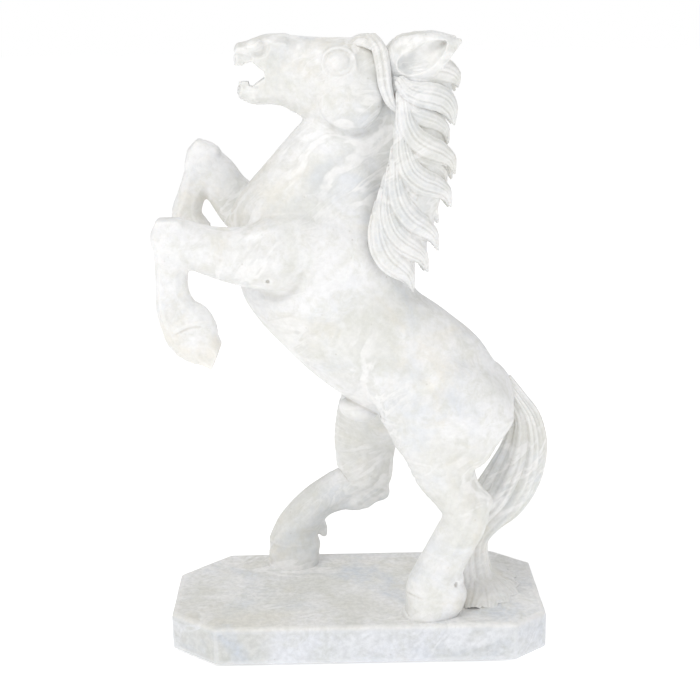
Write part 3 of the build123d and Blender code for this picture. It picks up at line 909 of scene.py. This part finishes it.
class Nodes:
    """Short ways to build the nodes of a material, or of the world."""

    def __init__(self, owner, shader="Principled BSDF"):
        owner.use_nodes = True
        self.owner, self.tree = owner, owner.node_tree
        self.shader = self.tree.nodes[shader]
        self.coordinates = self.add("TexCoord").outputs
        self.place = self.coordinates["Object"]

    def feed(self, node, inputs):
        """Sets a node's inputs to plain values, or links them to other nodes."""
        for key, value in inputs.items():
            if isinstance(value, (int, float, tuple)):
                node.inputs[key].default_value = value
            else:
                self.tree.links.new(value, node.inputs[key])
        return node

    def add(self, kind, inputs=None, **settings):
        """Adds a node; kind is its type without the prefix."""
        node = self.tree.nodes.new("ShaderNode" + kind)
        for key, value in settings.items():
            setattr(node, key, value)
        return self.feed(node, inputs or {})

    def finish(self, inputs):
        """Feeds the shader, and gives back the material or the world."""
        self.feed(self.shader, inputs)
        return self.owner

    def noise(self, scale, detail=4.0, rough=0.55, warp=0.0, place=None):
        inputs = {"Vector": place or self.place, "Scale": scale, "Detail": detail,
                  "Roughness": rough, "Distortion": warp}
        return self.add("TexNoise", inputs).outputs["Fac"]

    def ramp(self, value, low, high, to_low=0.0, to_high=1.0, shape="SMOOTHSTEP"):
        inputs = {"Value": value, "From Min": low, "From Max": high, "To Min": to_low, "To Max": to_high}
        return self.add("MapRange", inputs, interpolation_type=shape).outputs["Result"]

    def math(self, kind, a, b=0.0):
        return self.add("Math", {0: a, 1: b}, operation=kind).outputs[0]

    def times(self, a, b):
        return self.math("MULTIPLY", a, b)

    def mix(self, share, a, b, kind="MIX"):
        inputs = {0: share, 6: a, 7: b}
        return self.add("Mix", inputs, data_type="RGBA", blend_type=kind).outputs[2]

    def moved(self, shift, stretch=(1, 1, 1), turn=(0, 0, 0)):
        """Object coordinates turned, then stretched and shifted."""
        turned = self.add("Mapping", {"Vector": self.place, "Rotation": turn}).outputs[0]
        inputs = {"Vector": turned, "Location": shift, "Scale": stretch}
        return self.add("Mapping", inputs).outputs[0]

    def warped(self, size):
        """Object coordinates pushed about by a slow noise, in metres."""
        noise = self.add("TexNoise", {"Vector": self.place, "Scale": 40, "Detail": 4})
        inputs = {0: noise.outputs["Color"], "Scale": size}
        push = self.add("VectorMath", inputs, operation="SCALE").outputs[0]
        return self.add("VectorMath", {0: self.place, 1: push}).outputs[0]

    def bump(self, height, strength, distance):
        inputs = {"Height": height, "Strength": strength, "Distance": distance}
        return self.add("Bump", inputs).outputs["Normal"]


def marble(name, mottle, breccia, warmth, chill, side_shade):
    """Polished white marble with warm and cool clouds, white streaks and small pits.

    The last argument is how much duller and bluer the stone is painted below the top of the plinth:
    painted shade and a painted bluish reflection on the plinth's sides.
    """
    n = Nodes(bpy.data.materials.new(name))
    clouds = n.ramp(n.noise(7, 5, 0.6, 0.6), 0.4, 0.58)
    colour = n.mix(clouds, (0.755, 0.755, 0.725, 1), (0.868, 0.868, 0.874, 1))
    warm = ((9, 6, 0.65, 0.9), (3.1, 1.7, 5.2), (0.5, 0.7), warmth, (0.785, 0.745, 0.65, 1))
    cool = ((8, 6, 0.6, 0.7), (7.3, 4.4, 0.9), (0.46, 0.68), chill, (0.66, 0.695, 0.745, 1))
    green = ((46, 6, 0.75, 0.5), (2.7, 6.6, 3.8), (0.44, 0.68), 0.5, (0.66, 0.66, 0.6, 1))
    for noise, shift, span, share, tint in (warm, cool, green):
        patches = n.ramp(n.noise(*noise, n.moved(shift)), *span, 0, share)
        colour = n.mix(patches, colour, tint)
    broad, fine = ((1.5, 8.1, 2.6), 14, 0.048, 0.68), ((5.7, 2.3, 7.7), 34, 0.036, 0.4)
    for shift, size, width, share in (broad, fine):
        along = n.moved(shift, (0.35, 1, 1), (0, STREAK_SLOPE, 0))
        ridge = n.math("ABSOLUTE", n.math("SUBTRACT", n.noise(size, 4, 0.55, 1.1, along), 0.5))
        gate = n.ramp(n.noise(9, 3, 0.5, 0, n.moved(shift)), 0.46, 0.62, 0, share)
        shadow = n.times(n.ramp(ridge, width, 2.2 * width, 0.45, 0), gate)
        colour = n.mix(shadow, colour, (0.67, 0.67, 0.65, 1))
        streak = n.times(n.ramp(ridge, 0.3 * width, width, 1, 0), gate)
        colour = n.mix(streak, colour, (0.92, 0.915, 0.91, 1))
    inputs = {"Vector": n.warped(0.025), "Scale": 36}
    cells = n.add("TexVoronoi", inputs, feature="DISTANCE_TO_EDGE")
    seam = n.ramp(cells.outputs["Distance"], 0, 0.15, breccia, 0)
    seam = n.times(seam, n.ramp(n.noise(16, 3), 0.42, 0.62))
    colour = n.mix(seam, colour, (0.9, 0.89, 0.88, 1))
    grain = n.noise(150, 5, 0.65)
    grainy = n.ramp(grain, 0.3, 0.7, 1 - mottle, 1 + mottle * 0.3)
    shade = n.add("CombineColor", {0: grainy, 1: grainy, 2: grainy}).outputs[0]
    colour = n.mix(1, colour, shade, "MULTIPLY")
    pits = n.add("TexVoronoi", {"Vector": n.place, "Scale": 95}).outputs["Distance"]
    few = n.ramp(n.noise(24, 2), 0.55, 0.68)
    pit = n.times(n.ramp(pits, 0.06, 0.15, 1, 0), few)
    colour = n.mix(n.times(pit, 0.4), colour, (0.5, 0.47, 0.43, 1))
    hollow = n.add("Attribute", attribute_name="hollow").outputs["Fac"]
    # Darker and rougher in the creases: dust in the hollows, together with painted shade where the creases
    # fall in shadow.
    crease_dust_and_shade = n.ramp(hollow, 0.06, 0.55, 0, 0.4)
    colour = n.mix(crease_dust_and_shade, colour, (0.52, 0.48, 0.42, 1))
    worn = n.ramp(hollow, -0.25, -0.04, 0.35, 0)
    colour = n.mix(worn, colour, (0.9, 0.895, 0.88, 1))
    height = n.add("SeparateXYZ", {0: n.place}).outputs["Z"]
    # Painted shade and painted bluish reflection: below the top of the plinth its sides are made duller
    # and bluer than the lit top.
    below = n.ramp(height, (TOP - 6) * MM, (TOP - 1) * MM, side_shade, 0)
    rough = n.ramp(n.noise(38, 4), 0.35, 0.65, 0.34, 0.5)
    relief = n.math("SUBTRACT", n.times(grain, 0.1), n.times(pit, 0.8))
    return n.finish({
        "Base Color": n.mix(below, colour, (0.68, 0.72, 0.8, 1), "MULTIPLY"),
        "Roughness": n.math("ADD", rough, n.times(crease_dust_and_shade, 0.35)),
        "Normal": n.bump(relief, 0.25, 0.0006),
        "Subsurface Weight": 0.08,
        "Subsurface Radius": (0.006, 0.005, 0.004),
        "Subsurface Scale": 1,
        "Specular IOR Level": 0.5,
    })


def pin_steel():
    """Ground stainless rod with fine lines round it."""
    n = Nodes(bpy.data.materials.new("pin_steel"))
    lines = n.noise(420, 3, 0.6, 0.0, n.moved((0, 0, 0), (1, 1, 0.15)))
    return n.finish({
        "Base Color": n.mix(lines, (0.46, 0.46, 0.47, 1), (0.60, 0.60, 0.61, 1)),
        "Roughness": n.ramp(lines, 0.3, 0.7, 0.28, 0.45),
        "Normal": n.bump(lines, 0.2, 0.0002),
        "Metallic": 1.0,
    })


def pad_rubber():
    """Matt black sheet rubber with a pebbled face."""
    n = Nodes(bpy.data.materials.new("pad_rubber"))
    pebbles = n.noise(600, 3, 0.7)
    return n.finish({
        "Base Color": n.mix(n.noise(30, 3), (0.018, 0.018, 0.018, 1), (0.045, 0.044, 0.042, 1)),
        "Roughness": n.ramp(pebbles, 0.3, 0.7, 0.65, 0.85),
        "Normal": n.bump(pebbles, 0.5, 0.0003),
    })


def floor_finish():
    """Plain pale floor."""
    return Nodes(bpy.data.materials.new("floor")).finish({
        "Base Color": (0.97, 0.97, 0.97, 1),
        "Emission Color": (1, 1, 1, 1),
        "Emission Strength": FLOOR_GLOW,
        "Roughness": 0.9,
        "Specular IOR Level": 0.1,
    })


# ------ studio

CAMERA_AZIMUTH, CAMERA_ELEVATION, CAMERA_ROLL = -0.89, 15.53, -0.65
CAMERA_DISTANCE = 1.7575
CAMERA_AIM = Vector((-0.0063, 0, 0.3776))
CAMERA_LENS = 72
LIGHT_AIM = Vector((0, 0, 0.4))
FRONT_LIGHT, BACK_LIGHT = 0.74, 0.48     # brightness of the surroundings as a light
FLOOR_GLOW = 0.42


def camera():
    """Camera at the photograph's angle."""
    a, e = math.radians(CAMERA_AZIMUTH), math.radians(CAMERA_ELEVATION)
    back = Vector((math.sin(a) * math.cos(e), -math.cos(a) * math.cos(e), math.sin(e)))
    data = bpy.data.cameras.new("camera")
    data.lens, data.sensor_width = CAMERA_LENS, 36
    obj = placed("camera", data)
    obj.location = CAMERA_AIM + back * CAMERA_DISTANCE
    obj.rotation_mode = "QUATERNION"
    roll = Quaternion((0, 0, 1), math.radians(CAMERA_ROLL))
    obj.rotation_quaternion = (-back).to_track_quat("-Z", "Y") @ roll
    scene.camera = obj


def area_light(name, place, size, power, colour=(1, 1, 1)):
    """Soft square light, aimed at the middle of the statue."""
    data = bpy.data.lights.new(name, "AREA")
    data.size, data.energy, data.color = size, power, colour
    obj = placed(name, data)
    obj.location = place
    obj.rotation_euler = (LIGHT_AIM - Vector(place)).to_track_quat("-Z", "Y").to_euler()


def studio():
    """Pale floor, surroundings that are seen as white, and soft lights from the front and above."""
    half = 12.0
    mesh = bpy.data.meshes.new("floor")
    corners = [(-half, -half, 0), (half, -half, 0), (half, half, 0), (-half, half, 0)]
    mesh.from_pydata(corners, [], [(0, 1, 2, 3)])
    floor = placed("floor", mesh)
    coat(floor, floor_finish())
    scene.world = bpy.data.worlds.new("world")
    n = Nodes(scene.world, "Background")
    way = n.add("SeparateXYZ", {0: n.coordinates["Generated"]}).outputs["Y"]
    light = n.ramp(way, -0.6, 0.8, FRONT_LIGHT, BACK_LIGHT, "LINEAR")
    seen = n.add("LightPath").outputs["Is Camera Ray"]
    n.finish({"Color": (1, 1, 1, 1), "Strength": n.ramp(seen, 0.0, 1.0, light, 1.0, "LINEAR")})
    area_light("key", (-1.4, -1.6, 3.1), 1.2, 33, (1, 0.99, 0.975))
    area_light("fill", (2.3, -1.9, 1.2), 2.0, 6)
    area_light("back", (0.6, 2.6, 2.2), 2.0, 9)
    scene.view_settings.view_transform = "Standard"
    scene.view_settings.look = "None"


def coat(obj, material):
    """Gives an object one material."""
    obj.data.materials.clear()
    obj.data.materials.append(material)


def finish_with(obj, material):
    """Gives a piece its material and slot and lets it ride on the CAD body."""
    coat(obj, material)
    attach(obj, "root")


figure_marble = marble("marble", 0.06, 0.12, 0.58, 0.6, 0.0)
# The plinth's marble has painted shade on its sides, darker and bluer than its top.
slab_marble = marble("plinth_marble", 0.12, 0.30, 0.35, 0.9, 0.5)
steel, rubber = pin_steel(), pad_rubber()

carved = horse_pieces() + [
    head_piece(),
    carved_piece("mane_hair", ["mane"], 16, HAIR_STEP, carve_mane),
    carved_piece("forelock_hair", ["head"], 10, HEAD_STEP, carve_forelock),
    carved_piece("tail_hair", ["tail"], 34, HAIR_STEP, carve_tail),
]
for piece in carved:
    finish_with(piece, figure_marble)
slab = carved_piece("plinth_slab", ["plinth"], 6, PLINTH_STEP, carve_plinth)
finish_with(slab, slab_marble)
for node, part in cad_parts.items():
    if node.endswith(("_pin", "_front", "_rear", "_upper", "_lower")):
        coat(part, steel)
    elif node == "base_pad":
        coat(part, rubber)

camera()
studio()
